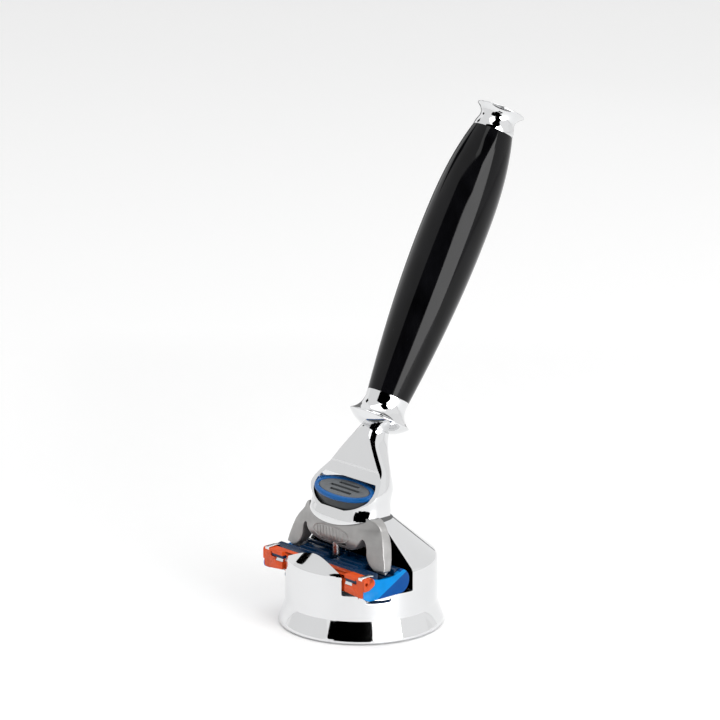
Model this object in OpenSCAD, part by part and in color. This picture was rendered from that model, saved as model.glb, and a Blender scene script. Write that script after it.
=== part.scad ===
// Five-blade cartridge razor standing in its slotted metal stand.
// Origin: centre of the stand's flat underside. +Z up, X along the cartridge.
// The handle leans back towards +Y, and its release button faces -Y.

/* [Stand] */
// Radius of the stand's cylindrical wall
stand_r = 20.67; // [20.2:0.1:21.2]
// Radius of the stand's flared foot
foot_r = 22.44; // [21.8:0.1:24]
// Height at which the conical top begins
shoulder_z = 18.85; // [18.7:0.05:19]
// Slope of the conical top above horizontal, degrees
cone_slope = 40.4; // [39:0.1:41]
// Height of the floor of the cartridge slot
slot_floor_z = 13.2; // [13:0.05:13.25]

/* [Handle] */
// Backward lean of the handle from vertical, degrees
lean = 29.52; // [29:0.05:30]
// Distance along the handle axis from floor level to the neck joint
neck_end = 60.75; // [60:0.05:61]
// Distance along the handle axis to the lower end of the grip
grip_start = 70.34; // [70:0.05:71]
// Length of the grip
grip_len = 77.57; // [70:0.5:85]
// Largest radius of the grip
grip_r = 8.99; // [8:0.1:10]
// Radius of the collar's rim
collar_r = 8.56; // [8:0.1:9]
// Radius of the end cap's flat top
cap_r = 6.67; // [6:0.1:7]

/* [Button] */
// Half-width of the blue rim across the razor
rim_a = 11.04; // [10.5:0.05:11.1]
// Forward tilt of the button's face, degrees
button_tilt = 17.7; // [15:0.5:20]

/* [Cartridge] */
// Overall width of the cartridge
cart_w = 42; // [41:0.5:42]
// Height of the blade face above the table
face_z = 13.6; // [13.55:0.05:13.7]
// Number of blades
blade_count = 5; // [5:1:5]
// Distance from one blade edge to the next
blade_pitch = 1.3; // [1.1:0.05:1.35]

/* [Hidden] */
$fn = 96;

far = 60;
// stand
foot_flare_z = 6.3;
foot_pad_z = 0.35;
foot_pad_r = 20.2;
foot_pad_h = 1;
slot_front_y = -16.4;
slot_relief_y = -17.28;
slot_relief_z = 18.2;
cone_top_z = 29.3;
cone_top_r = stand_r - (cone_top_z - shoulder_z) / tan(cone_slope);
scoop_y = -9.7;
scoop_r = 7.63;
scoop_z = 11.6 + scoop_r;
// handle axis: local Z of along_handle() runs up the handle
axis_y = -24.79;
grip_end = grip_start + grip_len;
grip_belly = grip_start + 45.2;
rod_r = 2;
// head
neck_foot_z = 29.9;
pocket_y = -5.7;
pocket_a = 11.45;
pocket_b = 5.15;
skirt_a = 10.6;
skirt_b = 4.15;
rim_pocket_z = 34;
carrier_a = 9.8;
carrier_b = 4.2;
carrier_z = neck_foot_z + 2.3;
button_y = -6.2;
button_z = 38.67;
rim_b = 4.84;
rim_h = 1.3;
plunger_y = -8.9;
plunger_r = 1;
plunger_top = 27.6;
fit = 0.05;
// cartridge
cart_x = cart_w / 2;
cap_x = 19.3;
deck_x = 17.4;
pivot_y = -4;
pivot_z = 14.5;
runner_in = 5.8;
runner_out = 7.0;
arm_foot_z = 20;
arm_back_y = -6.6;
arm_depth = 2.8;
trimmer_y = -16.1;
trimmer_end_y = -17.3;
trimmer_z = 19.6;
blade_y = -5.75;

function arc(cy, cz, r, a0, a1, n = 12) =
    [for (i = [0:n]) let (a = a0 + (a1 - a0) * i / n) [cy + r * cos(a), cz + r * sin(a)]];
// quadratic curve from p to r, bending towards q
function bend(p, q, r, n = 10) =
    [for (i = [0:n]) let (t = i / n) (1 - t) * (1 - t) * p + 2 * t * (1 - t) * q + t * t * r];
// radius of the grip at a distance s along the handle axis
function grip_radius(s) = s < grip_belly
    ? grip_r - 3.06 * pow((grip_belly - s) / (grip_belly - grip_start), 1.78)
    : grip_r - 3.29 * pow((s - grip_belly) / (grip_end - grip_belly), 2.75);

module along_handle(s = 0) {
    translate([0, axis_y, 0])
        rotate([-lean, 0, 0])
            translate([0, 0, s])
                children();
}

// solid of revolution from [radius, height] points
module turned(points) {
    rotate_extrude() polygon(points);
}

// prism along X from x0 to x1 with a [y, z] outline
module across(x0, x1, outline) {
    translate([x0, 0, 0])
        rotate([90, 0, 90])
            linear_extrude(x1 - x0) polygon(outline);
}

module block(x0, x1, y0, y1, z0, z1) {
    translate([x0, y0, z0]) cube([x1 - x0, y1 - y0, z1 - z0]);
}

module oval_prism(a, b, h) {
    linear_extrude(h) scale([1, b / a]) circle(a);
}

// ---- stand -------------------------------------------------------------

module stand_body() {
    color("silver") difference() {
        turned(concat(
            [[0, foot_pad_z], [foot_r - 0.32, foot_pad_z]],
            bend([foot_r, 0.8], [foot_r - 0.5, foot_flare_z - 2.8], [stand_r, foot_flare_z]),
            [[stand_r, shoulder_z], [cone_top_r, cone_top_z], [0, cone_top_z]]));
        block(-far, far, slot_front_y, 0, slot_floor_z, far);
        block(-far, far, slot_relief_y, 0, slot_floor_z, slot_relief_z);
        translate([-far, scoop_y, scoop_z]) rotate([0, 90, 0]) cylinder(r = scoop_r, h = 2 * far);
        translate([0, 0, -1]) cylinder(r = foot_pad_r, h = foot_pad_h + 1);
    }
}

module stand_foot_pad() {
    color("black") cylinder(r = foot_pad_r, h = foot_pad_h);
}

// ---- handle ------------------------------------------------------------

module end_cap() {
    color("silver") along_handle() difference() {
        turned(concat(
            [[0, grip_end]],
            bend([5.7, grip_end], [5.7, grip_end + 1.6], [4.9, grip_end + 2.9]),
            [[4.5, grip_end + 3.1]],
            bend([4.9, grip_end + 3.6], [5.3, grip_end + 5.2], [cap_r, grip_end + 5.95]),
            [[cap_r, grip_end + 6.34], [0, grip_end + 6.34]]));
        translate([0, 0, grip_end - 1]) cylinder(r = rod_r, h = 4);
    }
}

module grip_sleeve() {
    steps = 24;
    color("#111111") along_handle() difference() {
        turned(concat(
            [[0, grip_start]],
            [for (i = [0:steps]) let (s = grip_start + grip_len * i / steps) [grip_radius(s), s]],
            [[0, grip_end]]));
        translate([0, 0, grip_start - 1]) cylinder(r = rod_r, h = grip_len + 2);
    }
}

module tie_rod() {
    color("lightgray") along_handle(neck_end - 6) cylinder(r = rod_r, h = grip_end + 3 - neck_end + 6);
}

module front_collar() {
    color("silver") along_handle() difference() {
        turned(concat(
            [[0, neck_end]],
            bend([4, neck_end], [6.6, neck_end + 0.9], [collar_r, neck_end + 2.9]),
            bend([collar_r, neck_end + 3.1], [5.7, neck_end + 4.9], [5.85, neck_end + 7.9]),
            [[5.99, grip_start], [0, grip_start]]));
        translate([0, 0, neck_end - 1]) cylinder(r = rod_r, h = 12);
    }
}

// One ring of the neck: a superellipse in a plane tilted about X, with its own
// front and back half-depths.
function ring(y, z, tilt, a, front, back, power, n = 40) =
    [for (i = [0:n - 1]) let (
            t = 360 * i / n,
            c = sign(cos(t)) * pow(abs(cos(t)), 2 / power),
            s = sign(sin(t)) * pow(abs(sin(t)), 2 / power),
            v = s < 0 ? s * front : s * back)
        [a * c, y + v * cos(tilt), z + v * sin(tilt)]];

module loft(rings) {
    n = len(rings[0]);
    last = len(rings) - 1;
    faces = concat(
        [[for (i = [0:n - 1]) i]],
        [for (k = [0:last - 1]) for (i = [0:n - 1])
            [k * n + i, (k + 1) * n + i, (k + 1) * n + (i + 1) % n, k * n + (i + 1) % n]],
        [[for (i = [n - 1:-1:0]) last * n + i]]);
    polyhedron([for (r = rings) each r], faces, convexity = 4);
}

module neck_skin() {
    top_y = axis_y + neck_end * sin(lean);
    top_z = neck_end * cos(lean);
    loft([
        ring(-4.4, neck_foot_z, 0, 10.6, 7.4, 6.6, 2.3),
        ring(-4.5, 31.6, 0, 12.0, 6.9, 8.6, 2.3),
        ring(-4.9, 35.0, 0, 12.8, 5.6, 10.8, 2.3),
        ring(-5.2, 39.0, 0, 12.9, 6.0, 11.8, 2.3),
        ring(-0.8, 43.3, 0, 10.4, 5.1, 6.3, 2.1),
        ring(0.6, 47.0, -6, 7.8, 4.5, 6.1, 2.05),
        ring(2.1, 50.4, -16, 5.2, 3.8, 6.3, 2),
        ring(top_y, top_z, -lean, 3.95, 3.95, 3.95, 2)]);
}

// Everything in front of the neck's flat face and of the slanted pocket mouth
module front_cut() {
    across(-far, far, [[1.6, far], [1.4, 54.9], [-0.5, 50.6], [-1.4, 47.1], [-2.2, 43.5], [-3.2, 42.3],
        [-10.6, 33.7], [-15, 28.5], [-far, 28.5], [-far, far]]);
}

module button_frame() {
    translate([0, button_y, button_z]) rotate([button_tilt, 0, 0]) children();
}

module neck() {
    color("silver") difference() {
        neck_skin();
        front_cut();
        // pocket for the button and the docking carrier
        translate([0, pocket_y, neck_foot_z - 1]) oval_prism(carrier_a, carrier_b, 4);
        difference() {
            union() {
                translate([0, pocket_y, carrier_z - 0.1]) oval_prism(skirt_a + 0.3, skirt_b + 0.3, 20);
                translate([0, button_y + 0.2, rim_pocket_z]) oval_prism(pocket_a, pocket_b, 20);
            }
            button_frame() translate([-far, -far, 1.5]) cube(2 * far);
        }
        along_handle(neck_end - 6) cylinder(r = rod_r, h = 8);
    }
}

// ---- docking carrier, button and plunger ---------------------------------

nose_z = 25.2;
ejector_z = 26.4;
floor_z = 24.2;
spring_seat_z = 31.6;

module dock_carrier() {
    color("dimgray") difference() {
        union() {
            translate([0, pocket_y, neck_foot_z]) oval_prism(carrier_a, carrier_b, carrier_z - neck_foot_z);
            block(-5, 5, -10.5, -5.4, nose_z, neck_foot_z);
        }
        translate([0, plunger_y, nose_z - 1]) cylinder(r = plunger_r + fit, h = spring_seat_z - nose_z + 1);
        block(-4.2, 4.2, -7.3, -6, nose_z - 1, carrier_z + 1);
    }
}

// height of the centre of the plunger's round tip
tip_z = 20.5;

module plunger() {
    color("gainsboro") translate([0, plunger_y, 0]) {
        translate([0, 0, tip_z]) cylinder(r = plunger_r, h = plunger_top - tip_z);
        translate([0, 0, tip_z]) sphere(r = plunger_r);
    }
}

module coil(x, y, z0, z1, r) {
    // a coil spring's envelope as a stack of rings
    turns = 5;
    step = (z1 - z0) / turns;
    for (i = [0:turns - 1])
        translate([x, y, z0 + step * (i + 0.5)])
            rotate_extrude($fn = 24) translate([r, 0]) circle(0.16, $fn = 16);
}

module plunger_spring() {
    color("silver") coil(0, plunger_y, plunger_top + 0.05, spring_seat_z - 0.05, 0.75);
}

module button_spring() {
    color("silver") coil(0, -3.2, carrier_z + 0.05, 36.2, 0.9);
}

module button_skirt() {
    color("#2f3234") difference() {
        translate([0, pocket_y, 34.1]) oval_prism(skirt_a, skirt_b, 10);
        button_frame() translate([-far, -far, -rim_h]) cube(2 * far);
        translate([0, -3.2, 34]) cylinder(r = 1.25, h = 2.3);
    }
}

module button_rim() {
    color("royalblue") difference() {
        button_frame() translate([0, 0, -rim_h]) difference() {
            oval_prism(rim_a, rim_b, rim_h);
            translate([0, 0, 0.5]) oval_prism(rim_a - 1.6, rim_b - 1, rim_h);
        }
    }
}

module button_pad() {
    color("dimgray") button_frame() translate([0, 0, 0.5 - rim_h]) difference() {
        oval_prism(rim_a - 1.6, rim_b - 1, 0.65);
        for (v = [-1.7, 0, 1.7])
            translate([-4.6 + abs(v), v - 0.3, 0.35]) cube([9.2 - 2 * abs(v), 0.6, 1]);
    }
}

module ejector() {
    color("gray") {
        block(-4, 4, -7.2, -6.1, ejector_z, 34.1);
    }
}

// ---- cartridge mount -------------------------------------------------------

module runner(x0, x1) {
    // curved runner about the pivot axis, from the arm's foot into the housing
    across(x0, x1, concat(
        arc(pivot_y, pivot_z, runner_in + 0.25, 118, 136),
        arc(pivot_y, pivot_z, runner_out - 0.25, 136, 124),
        [[-8, arm_foot_z + 0.3], [-7, arm_foot_z + 0.3]]));
}

module arm(side) {
    // outline of one arm seen from the front, drawn on the +X side
    outline = concat(
        [[8, 25.2], [8, 31.2], [10.6, 32.1]],
        bend([12.9, 31.4], [17.8, 29.4], [19, 22.5]),
        [[19.5, arm_foot_z], [16.3, arm_foot_z]],
        bend([15.4, arm_foot_z + 0.5], [12.9, 21.8], [13, 24.2]),
        bend([12.8, 24.9], [12, 27], [9.6, 26]));
    mirror([side < 0 ? 1 : 0, 0, 0]) {
        translate([0, arm_back_y, 0])
            rotate([90, 0, 0])
                linear_extrude(arm_depth) polygon(outline);
        runner(15.6, 19.4);
    }
}

module interconnect() {
    color("darkgray") difference() {
        union() {
            // saddle under the neck
            across(-9.5, 9.5, [[-11.6, 29.6], [-11.5, 26.4], [-10.8, 24.2], [-9.2, 22.9], [-5.2, 23.2],
                [-3.6, 25.6], [-3.4, 29.6]]);
            arm(1);
            arm(-1);
        }
        // clear the neck and its carrier
        neck_clearance();
        block(-5.2, 5.2, -10.7, -5.2, floor_z, far);
        translate([0, plunger_y, 20]) cylinder(r = plunger_r + 0.35, h = 10);
    }
}

// the space of the neck's lower end, a little enlarged
module neck_clearance() {
    loft([
        ring(-4.4, neck_foot_z - 0.25, 0, 10.9, 7.7, 6.9, 2.3),
        ring(-4.5, 31.6, 0, 12.3, 7.2, 8.9, 2.3),
        ring(-4.9, 35.0, 0, 13.1, 5.9, 11.1, 2.3)]);
}

// ---- cartridge ---------------------------------------------------------------

rear_r = 3.4;
rear_y = -5;

function rear_outline() = arc(rear_y, face_z + rear_r, rear_r, -90, 78);

module cartridge_housing() {
    end_outline = concat(rear_outline(),
        [[-8.2, 20.7], [-14.2, 19.4], [-14.2, 17.8], [-15.3, 16.6]],
        arc(-15.5, face_z + 1.8, 1.8, 150, 270));
    mid_outline = concat(rear_outline(), [[-8.2, 20.7], [-14.3, 19.4], [-14.3, face_z]]);
    color("midnightblue") difference() {
        union() {
            across(-cap_x, cap_x, mid_outline);
            across(cap_x, cart_x, end_outline);
            across(-cart_x, -cap_x, end_outline);
        }
        // blade well and the beds of the two strips
        block(-deck_x, deck_x, -12, -5.2, face_z - 1, 16.6);
        block(-deck_x, deck_x, -14.31, -12.4, face_z - 1, 14.5);
        block(-deck_x, deck_x, -4.9, -2.6, face_z - 1, 14.7);
        // rinse windows through the back
        for (x = [-11.2, -3.9, 3.9, 11.2])
            block(x - 3.1, x + 3.1, -7.6, -5.4, 16, far);
        for (side = [-1, 1]) mirror([side < 0 ? 1 : 0, 0, 0]) {
            across(15.3, 19.8, concat([[pivot_y, pivot_z + 7]],
                arc(pivot_y, pivot_z, runner_in, 100, 152), arc(pivot_y, pivot_z, runner_out + 1.2, 152, 126),
                [[-8.6, 22]]));
            block(12.4, 20.35, -11.4, -5.8, arm_foot_z - 1.5, far);
            clip_band(0.01);
        }
        // pocket that takes the plunger's round end, deep enough for the cartridge to pivot
        block(-2, 2, -12, -6.8, tip_z - plunger_r - 1.2, far);
    }
}

module clip_band(grow) {
    block(17.7 - grow, 18.9 + grow, -14.3 - grow, -2.9, face_z - 0.2, face_z + 0.1 + grow);
    block(17.7 - grow, 18.9 + grow, -14.3 - grow, -14.0 + grow, face_z - 0.2, 19.2);
}

module clip_left() {
    color("white") mirror([1, 0, 0]) clip_band(0);
}

module clip_right() {
    color("white") clip_band(0);
}

module guard_strip() {
    fins = 4;
    color("#1d4f8a") {
        block(-deck_x, deck_x, -4.9, -2.6, 14.1, 14.7);
        for (i = [0:fins - 1])
            block(-deck_x, deck_x, -4.85 + 0.6 * i, -4.5 + 0.6 * i, face_z - 0.1, 14.1);
    }
}

module lubricating_strip() {
    color("lightblue") block(-deck_x, deck_x, -14.3, -12.4, face_z - 0.1, 14.5);
}

module trimmer_frame() {
    color("orangered") difference() {
        union() {
            block(-cap_x + 0.1, cap_x - 0.1, trimmer_y, -14.35, 14, trimmer_z);
            for (side = [-1, 1]) mirror([side < 0 ? 1 : 0, 0, 0]) {
                // thicker ends beside the stand's front wall
                block(12.8, cap_x - 0.1, trimmer_end_y, -14.35, 14, trimmer_z);
                // hook over the housing's front corner
                across(cap_x - 0.2, cart_x - 0.6, concat(
                    bend([-16, trimmer_z], [trimmer_end_y, trimmer_z], [trimmer_end_y, 18.2]),
                    [[trimmer_end_y, 16.8], [-15.4, 16.8], [-14.3, 18], [-14.3, trimmer_z]]));
            }
        }
        block(-17.9, 17.9, -far, far, 17.1, 18.5);
        translate([-far, -16.4, 18.1]) rotate([0, 90, 0]) cylinder(r = 0.45, h = 2 * far);
    }
}

module trimmer_blade() {
    color("white") block(-17.9, 17.9, -15.5, -15.25, 17.1, 17.75);
}

module at_blade(i) {
    translate([0, blade_y - blade_pitch * (i - 1), face_z + 0.15])
        children();
}

module blade(i) {
    color("white") at_blade(i)
        across(-deck_x, deck_x, [[0, 0], [-1.05, 0.42], [-1.05, 0.56], [-0.12, 0.19]]);
}

module blade_support(i) {
    color("silver") at_blade(i)
        across(-deck_x, deck_x, [[-0.35, 0.29], [-1.05, 0.57], [-1.05, 2.6], [-0.8, 2.6], [-0.8, 0.76], [-0.35, 0.58]]);
}

stand_body();
stand_foot_pad();
end_cap();
grip_sleeve();
tie_rod();
front_collar();
neck();
dock_carrier();
plunger_spring();
button_spring();
button_skirt();
button_rim();
button_pad();
ejector();
plunger();
interconnect();
cartridge_housing();
guard_strip();
lubricating_strip();
clip_left();
clip_right();
trimmer_frame();
trimmer_blade();
blade(1);  // blade_1
blade(2);  // blade_2
blade(3);  // blade_3
blade(4);  // blade_4
blade(5);  // blade_5
blade_support(1);  // blade_support_1
blade_support(2);  // blade_support_2
blade_support(3);  // blade_support_3
blade_support(4);  // blade_support_4
blade_support(5);  // blade_support_5
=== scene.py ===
"""Looks of the cartridge razor in its stand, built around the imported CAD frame.

Lengths in this file are millimetres and are scaled by MM when meshes are made.
The frame is the CAD's: origin under the stand, +Z up, X along the cartridge,
release button towards -Y, handle leaning back towards +Y.
"""
import math

import bmesh
import bpy
from mathutils import Matrix, Vector


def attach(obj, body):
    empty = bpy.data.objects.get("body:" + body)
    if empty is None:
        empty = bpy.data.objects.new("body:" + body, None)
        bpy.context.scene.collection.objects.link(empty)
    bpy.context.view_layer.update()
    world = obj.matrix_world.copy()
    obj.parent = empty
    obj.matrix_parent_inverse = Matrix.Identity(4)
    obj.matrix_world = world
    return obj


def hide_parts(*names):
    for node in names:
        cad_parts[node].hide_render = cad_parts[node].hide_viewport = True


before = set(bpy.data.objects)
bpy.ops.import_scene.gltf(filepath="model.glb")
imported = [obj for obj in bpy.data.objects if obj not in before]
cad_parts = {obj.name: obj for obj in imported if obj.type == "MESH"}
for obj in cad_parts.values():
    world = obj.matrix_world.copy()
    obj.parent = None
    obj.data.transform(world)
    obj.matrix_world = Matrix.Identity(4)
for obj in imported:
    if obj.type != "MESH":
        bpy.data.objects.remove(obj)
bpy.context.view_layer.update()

MM = 0.001

# ---- driving sizes, the same as the CAD's ------------------------------------

LEAN_DEG = 29.52
LEAN = math.radians(LEAN_DEG)
AXIS_Y = -24.79
NECK_END = 60.75
GRIP_START = 70.34
GRIP_LEN = 77.57
GRIP_END = GRIP_START + GRIP_LEN
GRIP_BELLY = GRIP_START + 45.2
GRIP_R = 8.99
COLLAR_R = 8.56
CAP_R = 6.67
STAND_R = 20.67
FOOT_R = 22.44
PAD_R = 20.2
FLARE_TOP_Z = 6.3
SHOULDER_Z = 18.85
CONE_TOP_Z = 29.3
CONE_SLOPE = math.radians(40.4)
SLOT_FLOOR_Z = 13.2
SLOT_FRONT_Y = -16.4
RELIEF_Y = -17.28
RELIEF_Z = 18.2
SCOOP_Y = -9.7
SCOOP_FLOOR_Z = 11.6
SCOOP_R = 7.63
NECK_FOOT_Z = 29.9
BUTTON_TILT = math.radians(17.7)
BUTTON_Y = -6.2
BUTTON_Z = 38.67
RIM_A = 11.04
RIM_B = 4.84
POCKET_Y = -5.7
PLUNGER_Y = -8.9
PIVOT_Y = -4
PIVOT_Z = 14.5
END_X = 21.0
TRIMMER_FRONT_Y = -17.3
TRIMMER_BACK_Y = -14.35

# ---- values that only the looks use ------------------------------------------

BADGE_Z = 26.9
BADGE_HALF_W = 7.1
BADGE_HALF_H = 2.35
FAR = 40  # cutters reach this far sideways, past every piece that they cut
HIGH = 60  # and this far up
NOISE_LOW, NOISE_HIGH = 0.3, 0.7  # noise nodes mostly give values between these

HANDLE = Matrix.Translation((0, AXIS_Y, 0)) @ Matrix.Rotation(-LEAN, 4, "X")
BUTTON = Matrix.Translation((0, BUTTON_Y, BUTTON_Z)) @ Matrix.Rotation(BUTTON_TILT, 4, "X")


# ---- mesh helpers ------------------------------------------------------------

def in_metres(matrix):
    """A placement given in millimetres as one for mesh data, which is in metres."""
    out = matrix.copy()
    out.translation = out.translation * MM
    return out


def facing(way, spot, forward="Z", up="Y"):
    """Placement at spot, given in millimetres, with the forward axis turned to way."""
    turn = way.to_track_quat(forward, up).to_matrix().to_4x4()
    return Matrix.Translation(Vector(spot) * MM) @ turn


def toward(azimuth, elevation):
    """Direction out from the object; azimuth 0 is in front (-Y), 90 is at +X."""
    az, el = math.radians(azimuth), math.radians(elevation)
    return Vector((math.sin(az) * math.cos(el), -math.cos(az) * math.cos(el), math.sin(el)))


def make_object(name, verts, faces, sharp=30):
    """A smooth-shaded mesh object from millimetre points."""
    mesh = bpy.data.meshes.new(name)
    mesh.from_pydata([tuple(c * MM for c in v) for v in verts], [], faces)
    bm = bmesh.new()
    bm.from_mesh(mesh)
    bmesh.ops.remove_doubles(bm, verts=bm.verts, dist=1e-6)
    bmesh.ops.recalc_face_normals(bm, faces=bm.faces)
    bm.to_mesh(mesh)
    bm.free()
    shade(mesh, sharp)
    obj = bpy.data.objects.new(name, mesh)
    bpy.context.scene.collection.objects.link(obj)
    return obj


def shade(mesh, sharp=30):
    """Smooth shading, with edges over sharp degrees kept crisp."""
    mesh.polygons.foreach_set("use_smooth", [True] * len(mesh.polygons))
    mesh.set_sharp_from_angle(angle=math.radians(sharp))


def apply_modifiers(obj, sharp=30):
    """Replaces the object's mesh by its evaluated mesh."""
    graph = bpy.context.evaluated_depsgraph_get()
    mesh = bpy.data.meshes.new_from_object(obj.evaluated_get(graph))
    weighted = any(mod.type == "WEIGHTED_NORMAL" for mod in obj.modifiers)
    obj.modifiers.clear()
    obj.data = mesh
    if not weighted:
        shade(mesh, sharp)


def bevel(obj, width, segments, angle):
    """Adds a bevel to the edges that turn by more than angle degrees."""
    mod = obj.modifiers.new("bevel", "BEVEL")
    mod.width = width * MM
    mod.segments = segments
    mod.limit_method = "ANGLE"
    mod.angle_limit = math.radians(angle)
    mod.harden_normals = True


def soften(obj, voxel, rounds):
    """Rebuilds a casting as one even skin and rounds all its edges a little."""
    mod = obj.modifiers.new("skin", "REMESH")
    mod.mode = "VOXEL"
    mod.voxel_size = voxel * MM
    mod.use_smooth_shade = True
    mod = obj.modifiers.new("relax", "SMOOTH")
    mod.factor = 0.5
    mod.iterations = rounds
    apply_modifiers(obj, 60)


def even_normals(obj):
    """Keeps large faces looking flat next to narrow ones."""
    mod = obj.modifiers.new("normals", "WEIGHTED_NORMAL")
    mod.keep_sharp = True
    mod.weight = 60


def combine(obj, other, operation="DIFFERENCE"):
    """Cuts other out of obj, or joins it on, and removes other."""
    mod = obj.modifiers.new("boolean", "BOOLEAN")
    mod.operation = operation
    mod.solver = "EXACT"
    mod.object = other
    apply_modifiers(obj)
    bpy.data.objects.remove(other)
    return obj


def fillet(points, radius, steps=6):
    """The closed outline with each corner rounded. radius is one number or one per point."""
    count = len(points)
    out = []
    for i, p in enumerate(points):
        r = radius[i] if isinstance(radius, (list, tuple)) else radius
        if r <= 0:
            out.append(tuple(p))
            continue
        p = Vector(p)
        a = (Vector(points[i - 1]) - p)
        b = (Vector(points[(i + 1) % count]) - p)
        reach = min(r, a.length * 0.48, b.length * 0.48)
        start = p + a.normalized() * reach
        end = p + b.normalized() * reach
        for k in range(steps + 1):
            t = k / steps
            out.append(tuple(start * (1 - t) ** 2 + p * 2 * t * (1 - t) + end * t * t))
    return out


def arc(cy, cz, r, a0, a1, steps=16):
    """Points of a circle about (cy, cz) from angle a0 to a1, in degrees."""
    angles = [math.radians(a0 + (a1 - a0) * i / steps) for i in range(steps + 1)]
    return [(cy + r * math.cos(a), cz + r * math.sin(a)) for a in angles]


def curve(p, q, r, steps=14):
    """Quadratic curve from p to r, bending towards q."""
    ts = [i / steps for i in range(steps + 1)]
    return [tuple((1 - t) ** 2 * p[k] + 2 * t * (1 - t) * q[k] + t * t * r[k] for k in (0, 1))
            for t in ts]


def mirrored(points):
    """Outline through points on the +X side and their mirror images."""
    return points + [(-x, z) for x, z in reversed(points)]


def rounded_bar(half, z0, z1):
    """Outline of a bar with rounded ends, centred on X = 0."""
    return fillet([(-half, z0), (half, z0), (half, z1), (-half, z1)], (z1 - z0) * 0.45)


def band(n, a, b):
    """Faces between two closed rings of n points, numbered from a and from b."""
    return [(a + i, a + (i + 1) % n, b + (i + 1) % n, b + i) for i in range(n)]


def prism_faces(n):
    """Faces of a solid between two rings of n points."""
    return [tuple(range(n)), tuple(range(2 * n - 1, n - 1, -1))] + band(n, 0, n)


def lathe(name, profile, matrix=Matrix.Identity(4), segments=192, squash=1.0, sharp=30):
    """Solid of revolution from (radius, height) points; squash scales it along Y."""
    verts = []
    for r, z in profile:
        for k in range(segments):
            a = 2 * math.pi * k / segments
            verts.append(matrix @ Vector((r * math.cos(a), squash * r * math.sin(a), z)))
    faces = []
    for i in range(len(profile) - 1):
        faces += band(segments, i * segments, (i + 1) * segments)
    return make_object(name, verts, faces, sharp)


def prism(name, outline, x0, x1, sharp=30):
    """Solid along X with a (y, z) outline."""
    verts = [(x0, y, z) for y, z in outline] + [(x1, y, z) for y, z in outline]
    return make_object(name, verts, prism_faces(len(outline)), sharp)


def prism_y(name, outline, y0, y1, sharp=30):
    """Solid along Y with an (x, z) outline."""
    verts = [(x, y0, z) for x, z in outline] + [(x, y1, z) for x, z in outline]
    return make_object(name, verts, prism_faces(len(outline)), sharp)


def rounded_slot(name, half, r, z0, z1, steps=10):
    """Upright prism with round ends, along X."""
    outline = [(half + r * math.cos(a), r * math.sin(a)) for a in
               [math.radians(-90 + 180 * i / steps) for i in range(steps + 1)]]
    outline += [(-x, -y) for x, y in outline]
    verts = [(x, y, z0) for x, y in outline] + [(x, y, z1) for x, y in outline]
    return make_object(name, verts, prism_faces(len(outline)))


def oval_column(name, matrix, a, b, z0, z1, segments=144):
    """Closed elliptical column along the matrix's own Z."""
    return lathe(name, [(0, z0), (a, z0), (a, z1), (0, z1)], matrix, segments, b / a)


def box(name, x0, x1, y0, y1, z0, z1):
    """Upright block between two corners."""
    return prism(name, [(y0, z0), (y1, z0), (y1, z1), (y0, z1)], x0, x1)


def loft(name, rings, sharp=30):
    """Closed solid through rings that have the same number of points."""
    n = len(rings[0])
    verts = [p for ring in rings for p in ring]
    faces = [tuple(range(n)), tuple(range(len(verts) - n, len(verts)))]
    for k in range(len(rings) - 1):
        faces += band(n, k * n, (k + 1) * n)
    return make_object(name, verts, faces, sharp)


def ease_through(rows, steps):
    """Catmull-Rom rows between the given rows of numbers."""
    out = []
    last = len(rows) - 1
    for i in range(last):
        p = [rows[max(0, i - 1)], rows[i], rows[i + 1], rows[min(last, i + 2)]]
        for k in range(steps):
            t = k / steps
            out.append([0.5 * (2 * b + (c - a) * t + (2 * a - 5 * b + 4 * c - d) * t * t
                               + (3 * b - a - 3 * c + d) * t ** 3) for a, b, c, d in zip(*p)])
    out.append(list(rows[-1]))
    return out


def super_ring(y, z, tilt, a, front, back, power, n=144):
    """Closed superellipse in a plane tilted about X, with its own front and back depths."""
    cos_tilt, sin_tilt = math.cos(math.radians(tilt)), math.sin(math.radians(tilt))
    ring = []
    for i in range(n):
        t = 2 * math.pi * i / n
        c, s = math.cos(t), math.sin(t)
        c = math.copysign(abs(c) ** (2 / power), c)
        s = math.copysign(abs(s) ** (2 / power), s)
        v = s * (front if s < 0 else back)
        ring.append((a * c, y + v * cos_tilt, z + v * sin_tilt))
    return ring


# ---- materials ---------------------------------------------------------------

def new_material(name, color, metallic=0.0, roughness=0.4, ior=1.5, gloss=0.5):
    """A material and its shader node; gloss is the strength of its reflections."""
    mat = bpy.data.materials.new(name)
    mat.use_nodes = True
    shader = mat.node_tree.nodes["Principled BSDF"]
    shader.inputs["Base Color"].default_value = (*color, 1)
    shader.inputs["Metallic"].default_value = metallic
    shader.inputs["Roughness"].default_value = roughness
    shader.inputs["IOR"].default_value = ior
    shader.inputs["Specular IOR Level"].default_value = gloss
    return mat, shader


def noise(mat, scale, detail, stretch=(1, 1, 1)):
    """Fractal noise in the object's own coordinates; scale is in cycles per metre."""
    nodes, links = mat.node_tree.nodes, mat.node_tree.links
    place = nodes.new("ShaderNodeTexCoord")
    mapping = nodes.new("ShaderNodeMapping")
    mapping.inputs["Scale"].default_value = stretch
    tex = nodes.new("ShaderNodeTexNoise")
    tex.inputs["Scale"].default_value = scale
    tex.inputs["Detail"].default_value = detail
    links.new(place.outputs["Object"], mapping.inputs["Vector"])
    links.new(mapping.outputs["Vector"], tex.inputs["Vector"])
    return tex.outputs["Fac"]


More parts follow.
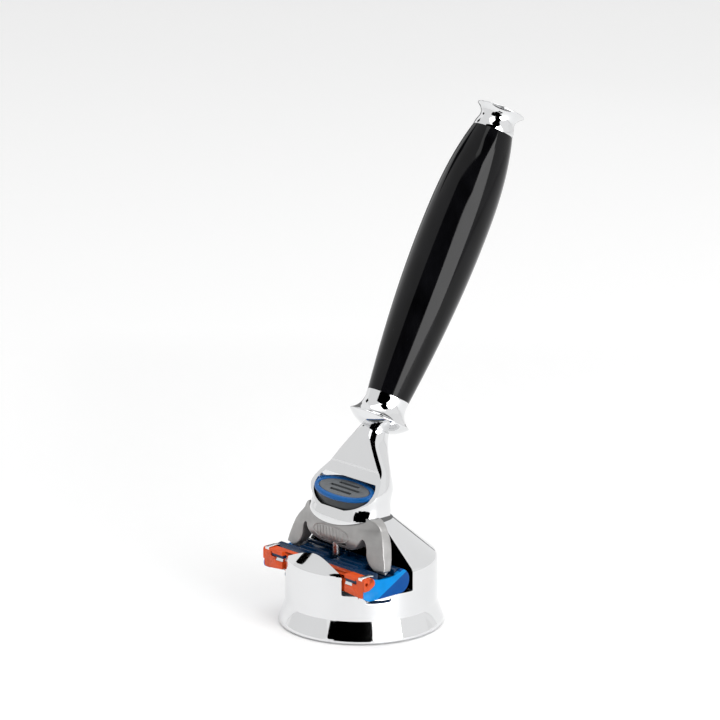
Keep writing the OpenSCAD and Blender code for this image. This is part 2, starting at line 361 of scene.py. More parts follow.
def spread(mat, source, low, high, socket):
    """Maps a noise source to low..high and feeds the socket."""
    ramp = mat.node_tree.nodes.new("ShaderNodeMapRange")
    ramp.inputs["From Min"].default_value = NOISE_LOW
    ramp.inputs["From Max"].default_value = NOISE_HIGH
    ramp.inputs["To Min"].default_value = low
    ramp.inputs["To Max"].default_value = high
    mat.node_tree.links.new(source, ramp.inputs["Value"])
    mat.node_tree.links.new(ramp.outputs["Result"], socket)


def tint(mat, source, dark, light, shader):
    """Varies the base colour between two colours by a noise source."""
    nodes, links = mat.node_tree.nodes, mat.node_tree.links
    ramp = nodes.new("ShaderNodeValToRGB")
    ramp.color_ramp.elements[0].position = NOISE_LOW
    ramp.color_ramp.elements[0].color = (*dark, 1)
    ramp.color_ramp.elements[1].position = NOISE_HIGH
    ramp.color_ramp.elements[1].color = (*light, 1)
    links.new(source, ramp.inputs["Fac"])
    links.new(ramp.outputs["Color"], shader.inputs["Base Color"])


def bump(mat, source, depth, shader):
    """Bump of the given depth in millimetres."""
    nodes, links = mat.node_tree.nodes, mat.node_tree.links
    node = nodes.new("ShaderNodeBump")
    node.inputs["Strength"].default_value = 1.0
    node.inputs["Distance"].default_value = depth * MM
    links.new(source, node.inputs["Height"])
    links.new(node.outputs["Normal"], shader.inputs["Normal"])


def chrome():
    """Polished plating with faint smudges."""
    mat, shader = new_material("chrome", (0.75, 0.755, 0.76), metallic=1.0, roughness=0.04)
    spread(mat, noise(mat, 90, 6), 0.025, 0.07, shader.inputs["Roughness"])
    tint(mat, noise(mat, 40, 3), (0.73, 0.735, 0.74), (0.77, 0.775, 0.785), shader)
    bump(mat, noise(mat, 160, 2), 0.004, shader)
    return mat


def resin():
    """Cast black resin under a polished surface."""
    mat, shader = new_material("grip_resin", (0.002, 0.002, 0.0025), roughness=0.07, ior=1.3)
    clouds = noise(mat, 220, 5, (1, 1, 0.3))
    tint(mat, clouds, (0.0012, 0.0012, 0.0015), (0.004, 0.004, 0.005), shader)
    spread(mat, noise(mat, 120, 5), 0.05, 0.1, shader.inputs["Roughness"])
    bump(mat, noise(mat, 150, 2), 0.003, shader)
    return mat


def moulded(name, color, roughness=0.45, grain=900, depth=0.012, metallic=0.0, gloss=0.5):
    """Injection-moulded plastic or rubber with a fine spark-eroded grain."""
    mat, shader = new_material(name, color, roughness=roughness, metallic=metallic, gloss=gloss)
    vary = 0.1
    light = tuple(min(1, c * (1 + vary)) for c in color)
    dark = tuple(c * (1 - vary) for c in color)
    tint(mat, noise(mat, 300, 4), dark, light, shader)
    spread(mat, noise(mat, 500, 5), roughness * 0.8, min(1, roughness * 1.2),
           shader.inputs["Roughness"])
    bump(mat, noise(mat, grain, 3), depth, shader)
    return mat


def brushed(name, color, roughness=0.25):
    """Bare metal with fine brush lines along X."""
    mat, shader = new_material(name, color, metallic=1.0, roughness=roughness)
    stretch = (0.05, 1, 1)
    lines = noise(mat, 6000, 3, stretch)
    spread(mat, lines, roughness * 0.7, roughness * 1.3, shader.inputs["Roughness"])
    patches = noise(mat, 800, 3, stretch)
    tint(mat, patches, tuple(c * 0.85 for c in color), color, shader)
    bump(mat, lines, 0.002, shader)
    return mat


MAT = {
    "chrome": chrome(),
    "resin": resin(),
    "pad": moulded("pad_rubber", (0.105, 0.115, 0.125), 0.5, 1200, 0.015),
    "rim": moulded("rim_plastic", (0.0, 0.10, 0.34), 0.3, 700, 0.004, gloss=0.2),
    "skirt": moulded("skirt_plastic", (0.022, 0.026, 0.03), 0.42, 1200, 0.01),
    "carrier": moulded("carrier_plastic", (0.03, 0.03, 0.034), 0.5),
    "mount": moulded("mount_plastic", (0.36, 0.355, 0.35), 0.42, 1500, 0.006, metallic=0.55),
    "orange": moulded("trimmer_plastic", (0.72, 0.085, 0.014), 0.35, 900, 0.006, gloss=0.2),
    "housing": moulded("housing_plastic", (0.0, 0.022, 0.07), 0.2, 500, 0.003, gloss=0.3),
    # the two cheek colours are one plastic, painted lighter at the front and darker at the rear as
    # painted light and shade
    "cheek_lit": moulded("cheek_painted_light", (0.0, 0.24, 0.66), 0.22, 700, 0.003, gloss=0.12),
    "blue": moulded("cheek_painted_shade", (0.0, 0.072, 0.31), 0.2, 700, 0.003, gloss=0.12),
    "foot": moulded("foot_rubber", (0.012, 0.012, 0.013), 0.7, 1500, 0.02),
    "guard": moulded("guard_rubber", (0.015, 0.09, 0.24), 0.5, 1500, 0.015),
    "lube": moulded("lube_strip", (0.35, 0.58, 0.70), 0.55, 2500, 0.03),
    "steel": brushed("steel", (0.55, 0.56, 0.57)),
    "blade": brushed("blade_steel", (0.72, 0.73, 0.75), 0.15),
    "clip": brushed("clip_aluminium", (0.82, 0.83, 0.84), 0.22),
}


def finish_piece(obj, material, body, replaces):
    """Gives the piece its looks and ties it to the CAD body, slot and node it stands for."""
    obj.data.materials.clear()
    obj.data.materials.append(MAT[material])
    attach(obj, body)
    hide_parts(replaces)


# ---- stand -------------------------------------------------------------------

def build_stand():
    """Turned chrome stand, with the slot and the scoop that hold the razor."""
    top_r = STAND_R - (CONE_TOP_Z - SHOULDER_Z) / math.tan(CONE_SLOPE)
    # foot, flare, straight side, rounded shoulder, cone, rounded top
    profile = [(0, 1.0), (PAD_R, 1.0), (PAD_R, 0.35), (FOOT_R - 0.45, 0.35)]
    profile += curve((FOOT_R - 0.32, 0.38), (FOOT_R + 0.02, 0.45), (FOOT_R, 0.9), 5)
    profile += curve((FOOT_R - 0.03, 1.15), (STAND_R + 0.55, 4.2), (STAND_R, FLARE_TOP_Z), 20)[1:]
    profile += [(STAND_R, FLARE_TOP_Z + (SHOULDER_Z - 7) * i / 8) for i in range(1, 8)]
    cone_r, cone_z = STAND_R - 0.75, SHOULDER_Z + 0.675
    profile += curve((STAND_R, SHOULDER_Z - 0.8), (STAND_R, SHOULDER_Z + 0.02), (cone_r, cone_z), 9)
    run, rise = cone_r - top_r - 0.3, CONE_TOP_Z - 0.27 - cone_z
    profile += [(cone_r - run * i / 14, cone_z + rise * i / 14) for i in range(1, 14)]
    profile += curve((top_r + 0.3, CONE_TOP_Z - 0.27), (top_r, CONE_TOP_Z),
                     (top_r - 0.4, CONE_TOP_Z), 5)
    profile += [(0, CONE_TOP_Z)]
    stand = lathe("stand", profile, segments=256)
    slot = [(0, HIGH), (0, SLOT_FLOOR_Z), (RELIEF_Y, SLOT_FLOOR_Z), (RELIEF_Y, RELIEF_Z - 0.3),
            (SLOT_FRONT_Y, RELIEF_Z + 0.3), (SLOT_FRONT_Y, HIGH)]
    combine(stand, prism("cut", fillet(slot, [0, 0.4, 0.4, 0.5, 0.3, 0]), -FAR, FAR))
    scoop = arc(SCOOP_Y, SCOOP_FLOOR_Z + SCOOP_R, SCOOP_R, 0, 360, 96)[:-1]
    combine(stand, prism("cut", scoop, -FAR, FAR))
    bevel(stand, 0.22, 3, 35)
    even_normals(stand)
    apply_modifiers(stand, 35)
    finish_piece(stand, "chrome", "stand", "stand_body")


# ---- handle ------------------------------------------------------------------

def grip_radius(s):
    """Radius of the grip at the distance s along the handle's axis."""
    if s < GRIP_BELLY:
        return GRIP_R - 3.06 * ((GRIP_BELLY - s) / (GRIP_BELLY - GRIP_START)) ** 1.78
    return GRIP_R - 3.29 * ((s - GRIP_BELLY) / (GRIP_END - GRIP_BELLY)) ** 2.75


def build_handle():
    """Turned pieces on the handle's axis: grip, end cap and front collar."""
    steps = 120
    grip = [(2, GRIP_START)]
    for i in range(steps + 1):
        along = GRIP_START + 0.03 + (GRIP_LEN - 0.06) * i / steps
        grip.append((grip_radius(along), along))
    grip += [(2, GRIP_END)]
    grip = lathe("grip", grip, HANDLE, sharp=50)
    finish_piece(grip, "resin", "handle", "grip_sleeve")

    end = GRIP_END
    cap = [(2, end), (5.5, end)]
    cap += curve((5.66, end + 0.03), (5.72, end + 0.8), (5.25, end + 2.1), 12)
    cap += curve((5.1, end + 2.5), (4.85, end + 3.2), (4.95, end + 3.8), 12)
    cap += curve((5.0, end + 4.0), (5.3, end + 5.1), (CAP_R - 0.05, end + 5.95), 20)
    cap += curve((CAP_R, end + 6.05), (CAP_R, end + 6.34), (CAP_R - 0.3, end + 6.34), 5)
    cap += [(0, end + 6.34)]
    cap = lathe("handle_cap", cap, HANDLE, sharp=40)
    finish_piece(cap, "chrome", "handle", "end_cap")

    base, r = NECK_END, COLLAR_R
    collar = [(2, base)]
    collar += curve((3.9, base), (6.4, base + 0.7), (r - 0.12, base + 2.85), 16)
    collar += curve((r - 0.04, base + 2.95), (r, base + 3.05), (r - 0.1, base + 3.18), 4)
    collar += curve((r - 0.2, base + 3.28), (5.72, base + 4.9), (5.84, base + 7.9), 20)
    collar += curve((5.86, base + 8.2), (5.99, GRIP_START - 0.3), (5.9, GRIP_START), 5)
    collar += [(2, GRIP_START)]
    collar = lathe("collar", collar, HANDLE, sharp=40)
    finish_piece(collar, "chrome", "handle", "front_collar")


NECK_ROWS = [
    # y, z, tilt, half-width, front depth, back depth, power
    (-4.4, NECK_FOOT_Z, 0, 10.9, 7.5, 6.5, 2.5),
    (-4.5, 31.6, 0, 12.25, 7.35, 8.6, 2.5),
    (-4.9, 35.0, 0, 12.4, 6.15, 10.8, 2.05),
    (-5.2, 39.0, 0, 12.8, 5.8, 11.8, 2.1),
    (-0.8, 43.3, 0, 10.4, 5.1, 6.3, 2.1),
    (0.6, 47.0, -6, 7.8, 4.5, 6.1, 2.05),
    (2.1, 50.4, -16, 5.2, 3.8, 6.3, 2),
    (AXIS_Y + NECK_END * math.sin(LEAN), NECK_END * math.cos(LEAN), -LEAN_DEG, 3.95, 3.95, 3.95, 2),
]


def arch_below(gap):
    """Everything under the arched lower edge of the neck's band."""
    edge = []
    for i in range(25):
        x = 15 - 1.25 * i
        edge.append((x, NECK_FOOT_Z + 0.05 - gap + 0.0165 * x * x))
    return prism_y("arch", edge + [(-15, 20), (15, 20)], -30, 20)


def above_button(name, height):
    """Everything more than height above the tilted plane of the button."""
    block = box(name, -FAR, FAR, -FAR, FAR, height, FAR)
    block.data.transform(in_metres(BUTTON))
    return block


def build_neck():
    """Cast neck from the cartridge dock up to the collar, with the button's pocket."""
    rings = [super_ring(*row) for row in ease_through(NECK_ROWS, 10)]
    neck = loft("neck_casting", rings)
    combine(neck, arch_below(0))
    # the sloping front face: everything before it goes
    face = [(1.5, HIGH), (1.35, 54.9)] + curve((1.2, 54.3), (-1.3, 49.6), (-2.2, 43.6), 40)
    face += [(-2.6, 42.5), (-3.0, 41.9), (-10.6, 33.7), (-15, 28.5), (-60, 28.5), (-60, HIGH)]
    combine(neck, prism("cut", face, -FAR, FAR))
    middle = Matrix.Translation((0, POCKET_Y, 0))
    combine(neck, oval_column("dock_bore", middle, 9.85, 4.25, 28, 33))
    pocket = oval_column("pocket", middle, 10.9, 4.45, 32.1, 46)
    ahead = Matrix.Translation((0, POCKET_Y - 0.3, 0))
    combine(pocket, oval_column("rim_room", ahead, 11.3, 4.7, 34, 46), "UNION")
    combine(pocket, above_button("lid", 1.5))
    combine(neck, pocket)
    bevel(neck, 0.12, 2, 24)
    even_normals(neck)
    apply_modifiers(neck, 24)
    finish_piece(neck, "chrome", "handle", "neck")


# ---- release button ----------------------------------------------------------

def build_rim():
    """Closed oval ring around the button, with a rounded section."""
    section = [(-0.35, -1.3), (0.0, -0.95), (0.0, -0.35), (-0.3, 0.0), (-1.1, 0.02), (-1.45, -0.2),
               (-1.5, -1.3)]
    section = fillet(section, 0.22, steps=4)
    n = 144
    verts = []
    for inset, z in section:
        for k in range(n):
            t = 2 * math.pi * k / n
            point = Vector(((RIM_A + inset) * math.cos(t), (RIM_B + inset) * math.sin(t), z))
            verts.append(BUTTON @ point)
    faces = []
    for k in range(len(section)):
        faces += band(n, k * n, (k + 1) % len(section) * n)
    rim = make_object("button_ring", verts, faces, 50)
    finish_piece(rim, "rim", "button", "button_rim")


def build_button():
    """Release button: boot, rim, and thumb pad with three grooves."""
    skirt = [(0, 34.1), (10.5, 34.1), (10.75, 34.4), (10.8, 35.5), (11.05, 38), (11.05, 44),
             (0, 44)]
    skirt = lathe("button_boot", skirt, Matrix.Translation((0, -5.72, 0)), 144, 4.3 / 10.75)
    combine(skirt, above_button("cut", -1.2))
    finish_piece(skirt, "skirt", "button", "button_skirt")

    build_rim()

    a, b = RIM_A - 1.62, RIM_B - 1.35
    pad = [(0, -0.85), (a, -0.85)] + curve((a, -0.35), (a, -0.12), (a - 0.35, -0.1), 5) + [(0, 0.0)]
    pad = lathe("thumb_pad", pad, BUTTON, 144, b / a)
    for y, half in ((1.75, 3.6), (0.1, 5.3), (-1.6, 3.8)):
        cutter = rounded_slot("groove", half, 0.4, -0.6, 1)
        cutter.data.transform(Matrix.Translation(Vector((0.3, y, 0)) * MM))
        cutter.data.transform(in_metres(BUTTON))
        combine(pad, cutter)
    bevel(pad, 0.1, 2, 40)
    apply_modifiers(pad, 40)
    finish_piece(pad, "pad", "button", "button_pad")
    # the floors of the grooves are painted darker with the skirt's material, as painted shade
    pad.data.materials.append(MAT["skirt"])
    inverse = BUTTON.inverted()
    for poly in pad.data.polygons:
        x, y, z = inverse @ (poly.center / MM)
        if z < -0.2 and (x / a) ** 2 + (y / b) ** 2 < 0.9:
            poly.material_index = 1


# ---- cartridge mount ---------------------------------------------------------

def blend(value, points):
    """Straight-line interpolation through (value, result) points."""
    if value <= points[0][0]:
        return points[0][1]
    for (a, ya), (b, yb) in zip(points, points[1:]):
        if value <= b:
            return ya + (yb - ya) * (value - a) / (b - a)
    return points[-1][1]


def mount_front(x, z):
    """Front surface of the mount: bowed across, curling under at the saddle."""
    bow = blend(z, [(20, 0.0036), (24.5, 0.0068), (28, 0.0140), (30, 0.0205), (33, 0.024)])
    reach = blend(z, [(20, 10.8), (24.5, 10.9), (26.5, 11.45), (33, 11.6)])
    curl = blend(z, [(21.8, 4.6), (22.4, 2.9), (23.2, 1.5), (24.2, 0.55), (25.4, 0)])
    surface = -reach + bow * x * x + curl * blend(abs(x), [(8.5, 1), (12, 0)])
    return min(surface, mount_back(x, z) - 1.5)


def mount_back(x, z):
    """Back surface of the mount: further forward at the arms than at the saddle."""
    saddle = blend(z, [(22, -6.4), (23.4, -5.0), (25.6, -3.7), (30, -3.4)])
    arm = blend(z, [(20, -6.95), (24, -5.5), (27.5, -4.7), (30, -4.3)])
    return saddle + (arm - saddle) * blend(abs(x), [(8.5, 0), (12, 1)])


def skin_slab(name, front, back, x_range, z_range, nx, nz):
    """Closed slab between two Y surfaces over an X-Z rectangle."""
    verts = []
    for surface in (front, back):
        for j in range(nz + 1):
            z = z_range[0] + (z_range[1] - z_range[0]) * j / nz
            for i in range(nx + 1):
                x = x_range[0] + (x_range[1] - x_range[0]) * i / nx
                verts.append((x, surface(x, z), z))
    w, half = nx + 1, (nx + 1) * (nz + 1)
    faces = []
    for j in range(nz):
        for i in range(nx):
            k = j * w + i
            faces.append((k, k + 1, k + w + 1, k + w))
            faces.append((half + k, half + k + w, half + k + w + 1, half + k + 1))
    edge = list(range(w)) + [j * w + nx for j in range(1, nz + 1)]
    edge += [nz * w + i for i in range(nx - 1, -1, -1)] + [j * w for j in range(nz - 1, 0, -1)]
    for a, b in zip(edge, edge[1:] + edge[:1]):
        faces.append((a, half + a, half + b, b))
    return make_object(name, verts, faces, 50)


def badge_rim():
    """Raised oval rim on the mount's front."""
    count = 120
    verts, faces = [], []
    for k in range(count):
        t = 2 * math.pi * k / count
        x, z = BADGE_HALF_W * math.cos(t), BADGE_Z + BADGE_HALF_H * math.sin(t)
        for out, lift in ((-1, -0.3), (-0.75, 0.06), (0, 0.17), (0.75, 0.06), (1, -0.3)):
            px, pz = x + 0.3 * math.cos(t) * out, z + 0.3 * math.sin(t) * out
            verts.append((px, mount_front(px, pz) - lift, pz))
    for k in range(count):
        n = (k + 1) % count
        for i in range(5):
            faces.append((k * 5 + i, n * 5 + i, n * 5 + (i + 1) % 5, k * 5 + (i + 1) % 5))
    return make_object("badge_rim", verts, faces, 60)


def badge_rib(x):
    """Raised upright rib inside the oval, tapered to both ends."""
    tall = 1.75 * math.sqrt(1 - (x / 6.9) ** 2)
    verts = []
    for j in range(9):
        z = BADGE_Z + tall * (j - 4) / 4
        swell = 0.26 * math.sqrt(max(0.0, 1 - ((j - 4) / 4.2) ** 2))
        for dx, lift in ((-1, -0.3), (-0.7, 0.6), (0, 1), (0.7, 0.6), (1, -0.3)):
            px = x + dx * swell
            verts.append((px, mount_front(px, z) - (lift * 0.2 if lift > 0 else lift), z))
    faces = []
    for j in range(8):
        faces += band(5, j * 5, (j + 1) * 5)
    faces += [tuple(range(5)), tuple(range(44, 39, -1))]
    return make_object("badge_rib", verts, faces, 60)


def build_mount():
    """Cast mount between neck and cartridge: saddle, two arms with lugs, plain badge."""
    half = [(0.01, 33)]
    half += curve((11.0, 33), (14.3, 32.5), (15.3, 30.2), 8)
    half += curve((15.4, 29.9), (17.6, 27.4), (18.3, 24.3), 10)
    half += curve((18.4, 24.0), (19.3, 22), (19.5, 19.9), 6)
    half += [(16.6, 19.6)] + curve((16.3, 19.65), (12.8, 21.0), (12.8, 24.6), 12)
    half += curve((12.75, 25.0), (12.4, 27.5), (11.2, 27.2), 6)
    half += curve((11.0, 27.1), (8.8, 23.0), (4.2, 22.6), 10) + [(0.01, 22.3)]
    plate = skin_slab("cartridge_mount", mount_front, mount_back,
                      (-20.5, 20.5), (19.2, 33.2), 110, 46)
    combine(plate, prism_y("keep", mirrored(half), -30, 20), "INTERSECT")
    for side in (-1, 1):
        lug = arc(PIVOT_Y, PIVOT_Z, 6.05, 118, 136, 8) + arc(PIVOT_Y, PIVOT_Z, 6.75, 136, 124, 6)
        lug += [(-8.3, 20.5), (-7.2, 20.5)]
        combine(plate, prism("lug", lug, side * 15.6, side * 19.2), "UNION")
    # room for the neck's foot, for the dock and for the plunger
    grow = 0.22
    rows = [[y, z, 0, a + grow, f + grow, b + grow, p] for y, z, _, a, f, b, p in NECK_ROWS[:4]]
    rows[0][1] -= 0.2
    space = loft("neck_space", [super_ring(*row) for row in ease_through(rows, 6)])
    combine(plate, combine(space, arch_below(0.16)))
    combine(plate, box("dock", -5.2, 5.2, -10.6, -5.2, 24.2, HIGH))
    bore = [(0, 20), (1.35, 20), (1.35, 30), (0, 30)]
    combine(plate, lathe("bore", bore, Matrix.Translation((0, PLUNGER_Y, 0)), 48))
    soften(plate, 0.17, 7)
    parts = [badge_rim()] + [badge_rib(1.3 * i) for i in range(-4, 5)]
    for part in parts:
        combine(plate, part, "UNION")
    shade(plate.data, 40)
    finish_piece(plate, "mount", "cartridge_mount", "interconnect")


# ---- cartridge ---------------------------------------------------------------

def rear_curve(end, steps):
    """Round back of the cartridge, from its underside up to the angle end."""
    return arc(-5, 17, 3.4, -90, end, steps)


def arm_recess(side, x0, x1):
    """Room on top of the cartridge for an arm of the mount."""
    return box("recess", *sorted((side * x0, side * x1)), -11.6, -5.8, 18.4, FAR)


def build_housing():
    """Middle of the cartridge, open for the blades below and for rinsing above."""
    middle = rear_curve(80, 22) + [(-8.2, 20.8), (-13.6, 19.85), (-14.3, 19.3), (-14.3, 13.6)]
    body = prism("cartridge_body", middle, -19.5, 19.5)
    for y, z in ((-9.9, 20.4), (-11.6, 20.1), (-13.1, 19.8)):
        ridge = [(y - 0.5, z - 0.5), (y - 0.3, z + 0.2), (y + 0.3, z + 0.24), (y + 0.5, z - 0.5)]
        combine(body, prism("ridge", fillet(ridge, 0.25), -12.1, 12.1), "UNION")
    # wells for the blades, the guard strip and the lubricating strip
    well = 17.4
    combine(body, box("well", -well, well, -12, -5.2, 10, 16.6))
    combine(body, box("bed", -well, well, -14.31, -12.4, 10, 14.5))
    combine(body, box("bed", -well, well, -4.9, -2.6, 10, 14.7))
    # rinsing windows, and a notch for the plunger
    for x in (-11.2, -3.9, 3.9, 11.2):
        combine(body, box("window", x - 3.1, x + 3.1, -7.6, -5.4, 16, FAR))
    combine(body, box("notch", -2, 2, -12, -6.8, 18.3, FAR))
    for side in (-1, 1):
        track = [(PIVOT_Y, 21.5)] + arc(PIVOT_Y, PIVOT_Z, 5.8, 100, 152, 16)
        track += arc(PIVOT_Y, PIVOT_Z, 8.2, 152, 126, 10) + [(-8.6, 22)]
        combine(body, prism("track", track, side * 15.3, side * 19.6))
        combine(body, arm_recess(side, 12.4, 20))
    bevel(body, 0.18, 2, 32)
    apply_modifiers(body, 32)
    finish_piece(body, "housing", "cartridge", "cartridge_housing")


def build_cheek(side):
    """End cheek of the cartridge, cut by a slanting facet towards the front."""
    outline = rear_curve(62, 20) + curve((-4.3, 19.7), (-5.4, 18.7), (-9.5, 18.5), 8)
    outline += curve((-10, 18.5), (-12.6, 18.6), (-13.6, 19.2), 6)
    outline += [(-14.2, 18.9), (-14.2, 17.9), (-15.3, 16.7)]
    outline += [(TRIMMER_FRONT_Y, 16.7)] + arc(-15.5, 15.4, 1.8, 160, 270, 10)
    cheek = prism("cartridge_end", outline, side * 19.4, side * END_X)
    slope = box("slope", 0, 30, -60, 60, -60, 60)
    way = Vector((side, -0.096, 0.177)).normalized()
    slope.data.transform(facing(way, (side * END_X, -4.3, 18.4), "X", "Z"))
    combine(cheek, slope)
    combine(cheek, arm_recess(side, 18, 20.3))
    bevel(cheek, 0.35, 3, 20)
    apply_modifiers(cheek, 32)
    finish_piece(cheek, "cheek_lit", "cartridge", "cartridge_housing")
    # the rear half, behind a slanting line, is painted a darker copy of the cheek colour as painted
    # shade, and the front keeps the lighter copy as painted light
    cheek.data.materials.append(MAT["blue"])
    for poly in cheek.data.polygons:
        y, z = poly.center[1] / MM, poly.center[2] / MM
        behind = (z - 14.5) * 7.2 < (y + 11.5) * 3.9 - 0.4
        poly.material_index = 1 if behind or y > -4.6 else 0


def build_trimmer():
    """Frame on the cartridge's front, with its slot, ticks and hooks."""
    low, high = 14.3, 19.75
    plate = None
    for side in (-1, 1):
        end = [(12.65, low + 0.6), (18.6, low), (20.0, low + 0.15), (20.0, high), (12.65, high)]
        end = fillet([(side * x, z) for x, z in end], [0, 0.8, 1.0, 1.1, 0])
        part = prism_y("trimmer", end, TRIMMER_FRONT_Y, TRIMMER_BACK_Y)
        plate = part if plate is None else combine(plate, part, "UNION")
    combine(plate, box("middle", -13, 13, -16.1, TRIMMER_BACK_Y, low, high), "UNION")
    for side in (-1, 1):
        hook = [(TRIMMER_FRONT_Y, 16.4), (-15.5, 16.5), (-13.45, 17.7), (-13.6, 18.9),
                (-14.4, 19.7), (TRIMMER_FRONT_Y, 19.7)]
        hook = fillet(hook, [0.1, 0.4, 0.6, 0.5, 0.3, 0.8])
        combine(plate, prism("hook", hook, side * 19.2, side * 20.5), "UNION")
        place = Matrix.Translation((side * 20.2, -16.45, 18.35))
        place = place @ Matrix.Rotation(math.pi / 2, 4, "Y")
        combine(plate, lathe("hole", [(0, -3), (0.5, -3), (0.5, 3), (0, 3)], place, 32))
    combine(plate, prism_y("slot", rounded_bar(17.4, 17.75, 18.7), -18, -14))
    for side in (-1, 1):
        tick = [(16.8, 18.2), (17.4, 18.2), (17.3, 19.15), (16.9, 19.15)]
        tick = fillet([(side * x, z) for x, z in tick], 0.2)
        combine(plate, prism_y("tick", tick, -18, -14))
    combine(plate, prism_y("blade_bed", rounded_bar(15.6, 16.95, 17.81), -18, -16.4))
    bevel(plate, 0.1, 2, 35)
    apply_modifiers(plate, 35)
    finish_piece(plate, "orange", "cartridge", "trimmer_frame")


def build_trimmer_blade():
    """The trimmer's bare edge in three lengths, and dark blocks behind its slot as painted shade.
    """
    slot_shade_outline = [(-16.95, 17.77), (-14.4, 17.77), (-14.4, 18.68), (-16.95, 18.68)]
    edge = [(-17.18, 17.0), (-17.0, 16.98), (-16.5, 17.2), (-16.5, 17.76), (-16.85, 17.76)]
    for side in (-1, 1):
        # a dark block of housing plastic set in the slot's back, as painted shade
        back = prism("slot_painted_shade", slot_shade_outline, side * 12.7, side * 17.2)
        finish_piece(back, "housing", "cartridge", "cartridge_housing")
        strip = prism("trimmer_edge", edge, side * 12.7, side * 15.6)
        finish_piece(strip, "clip", "cartridge", "trimmer_blade")
    inner = [(-15.95, 17.0), (-15.7, 16.98), (-15.5, 17.2), (-15.5, 17.76), (-15.85, 17.76)]
    middle = prism("trimmer_edge_mid", inner, -12.7, 12.7)
    finish_piece(middle, "clip", "cartridge", "trimmer_blade")


def build_clips():
    """Folded metal bands that hold the blades, one at each end."""
    section = [(-17.34, 19.2), (-17.34, 19.98), (-14.3, 20.12), (-13.2, 20.0), (-13.2, 19.7),
               (-14.3, 19.85), (-17.0, 19.78), (-17.0, 19.2)]
    for side, node in ((-1, "clip_left"), (1, "clip_right")):
        clip = prism("clip", fillet(section, 0.15), side * 18.1, side * 19.6)
        bevel(clip, 0.08, 2, 40)
        apply_modifiers(clip, 35)
        finish_piece(clip, "clip", "cartridge", node)


# ---- carried-over CAD pieces -------------------------------------------------

CAD_LOOKS = {
    "stand_foot_pad": "foot", "tie_rod": "steel", "dock_carrier": "carrier",
    "plunger_spring": "steel", "button_spring": "steel", "ejector": "carrier", "plunger": "steel",
    "guard_strip": "guard", "lubricating_strip": "lube",
}


def dress_cad():
    """Looks of the CAD nodes that are shown as they are."""
    for name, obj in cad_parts.items():
        look = CAD_LOOKS.get(name)
        if name.startswith("blade_support"):
            look = "steel"
        elif name.startswith("blade_"):
            look = "blade"
        if look:
            obj.data.materials.clear()
            obj.data.materials.append(MAT[look])
            shade(obj.data, 30)


# ---- floor, lights, camera ---------------------------------------------------

def emitter(name, strength):
    """White glow; a strength of 0 is plain black."""
    mat = bpy.data.materials.new(name)
    mat.use_nodes = True
    nodes, links = mat.node_tree.nodes, mat.node_tree.links
    nodes.clear()
    out = nodes.new("ShaderNodeOutputMaterial")
    glow = nodes.new("ShaderNodeEmission")
    glow.inputs["Color"].default_value = (1, 1, 1, 1)
    glow.inputs["Strength"].default_value = strength
    links.new(glow.outputs["Emission"], out.inputs["Surface"])
    return mat


def flat_card(name, half_width, half_height):
    """One upward-facing rectangle about the origin."""
    w, h = half_width, half_height
    return make_object(name, [(-w, -h, 0), (w, -h, 0), (w, h, 0), (-w, h, 0)], [(0, 1, 2, 3)])


def card(name, azimuth, elevation, width, height, material, distance=600, aim=(0, 0, 40)):
    """A studio card that faces the object and shows only in its reflections."""
    way = toward(azimuth, elevation)
    obj = flat_card(name, width / 2, height / 2)
    obj.data.transform(facing(way, Vector(aim) + way * distance))
    obj.data.materials.append(material)
    obj.visible_camera = False
    obj.visible_diffuse = False
    obj.visible_shadow = False


def build_floor():
    """Plain pale floor."""
    floor = flat_card("floor", 3000, 3000)
    mat, shader = new_material("floor_paper", (0.93, 0.93, 0.93), roughness=0.6)
    spread(mat, noise(mat, 200, 4), 0.55, 0.65, shader.inputs["Roughness"])
    shader.inputs["Emission Color"].default_value = (1, 1, 1, 1)
    shader.inputs["Emission Strength"].default_value = 0.08
    floor.data.materials.append(mat)


def build_world():
    """White surroundings that light the matt surfaces less than they are reflected."""
    world = bpy.data.worlds.new("studio")
    bpy.context.scene.world = world
    world.use_nodes = True
    nodes, links = world.node_tree.nodes, world.node_tree.links
    back = nodes["Background"]
    back.inputs["Color"].default_value = (1, 1, 1, 1)
    rays = nodes.new("ShaderNodeLightPath")
    level = nodes.new("ShaderNodeMapRange")
    level.inputs["To Min"].default_value = 0.98
    level.inputs["To Max"].default_value = 0.62
    links.new(rays.outputs["Is Diffuse Ray"], level.inputs["Value"])
    links.new(level.outputs["Result"], back.inputs["Strength"])


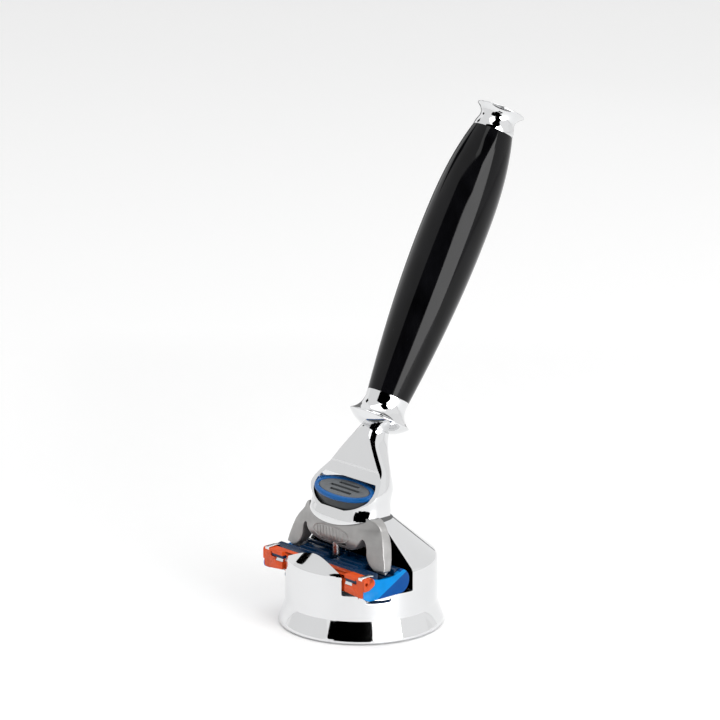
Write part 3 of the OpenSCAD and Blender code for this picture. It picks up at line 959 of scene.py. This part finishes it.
def build_cards():
    """Black flags and glowing cards that the chrome and the grip mirror."""
    black = emitter("flag_black", 0.0)
    card("flag_camera", 32.6, 33, 750, 560, black)
    card("softbox_right", 86, 15, 440, 440, emitter("glow_right", 5.5))
    card("softbox_left", -38, 30, 880, 1300, emitter("glow_left", 0.87))
    card("flag_near", 34, 2, 130, 75, black, distance=220, aim=(0, 0, 62))
    card("flag_cap", 45, 2, 60, 48, black, distance=100, aim=(0, 0, 42))
    card("flag_behind", 228, 8, 220, 170, emitter("glow_behind", 0.2), distance=300,
         aim=(0, 10, 60))
    card("flag_low", 36, 3, 560, 130, black)
    card("flag_back_left", -85, 34, 150, 150, black)
    card("flag_upper", 84, 58, 340, 300, black)
    card("wall_back", 188, 24, 900, 520, emitter("glow_back", 0.92))


def area_light(name, azimuth, elevation, size, power, distance=900):
    """Soft square lamp that shines at the middle of the razor."""
    way = toward(azimuth, elevation)
    data = bpy.data.lights.new(name, "AREA")
    data.shape = "RECTANGLE"
    data.size = data.size_y = size * MM
    data.energy = power
    obj = bpy.data.objects.new(name, data)
    bpy.context.scene.collection.objects.link(obj)
    obj.matrix_world = facing(way, Vector((0, 0, 50)) + way * distance)


def build_camera():
    """Camera at the photograph's viewing angle, with a long lens."""
    data = bpy.data.cameras.new("camera")
    data.sensor_width = 36
    data.lens = 214
    data.clip_start = 0.05
    cam = bpy.data.objects.new("camera", data)
    bpy.context.scene.collection.objects.link(cam)
    azimuth, pitch, reach = 48, 15.02, 1144.7
    target = Vector((-0.2, -0.2, 73.0))
    cam.location = (target + toward(azimuth, pitch) * reach) * MM
    cam.rotation_euler = (math.pi / 2 - math.radians(pitch), 0, math.radians(azimuth))
    bpy.context.scene.camera = cam


build_camera()
build_floor()
build_world()
build_cards()
area_light("overhead", 0, 86, 1200, 6, 1200)
area_light("side", 88, 28, 440, 3)
bpy.context.scene.view_settings.view_transform = "Standard"
build_stand()
build_handle()
build_neck()
build_button()
build_mount()
build_housing()
for end_side in (-1, 1):
    build_cheek(end_side)
build_trimmer()
build_trimmer_blade()
build_clips()
dress_cad()
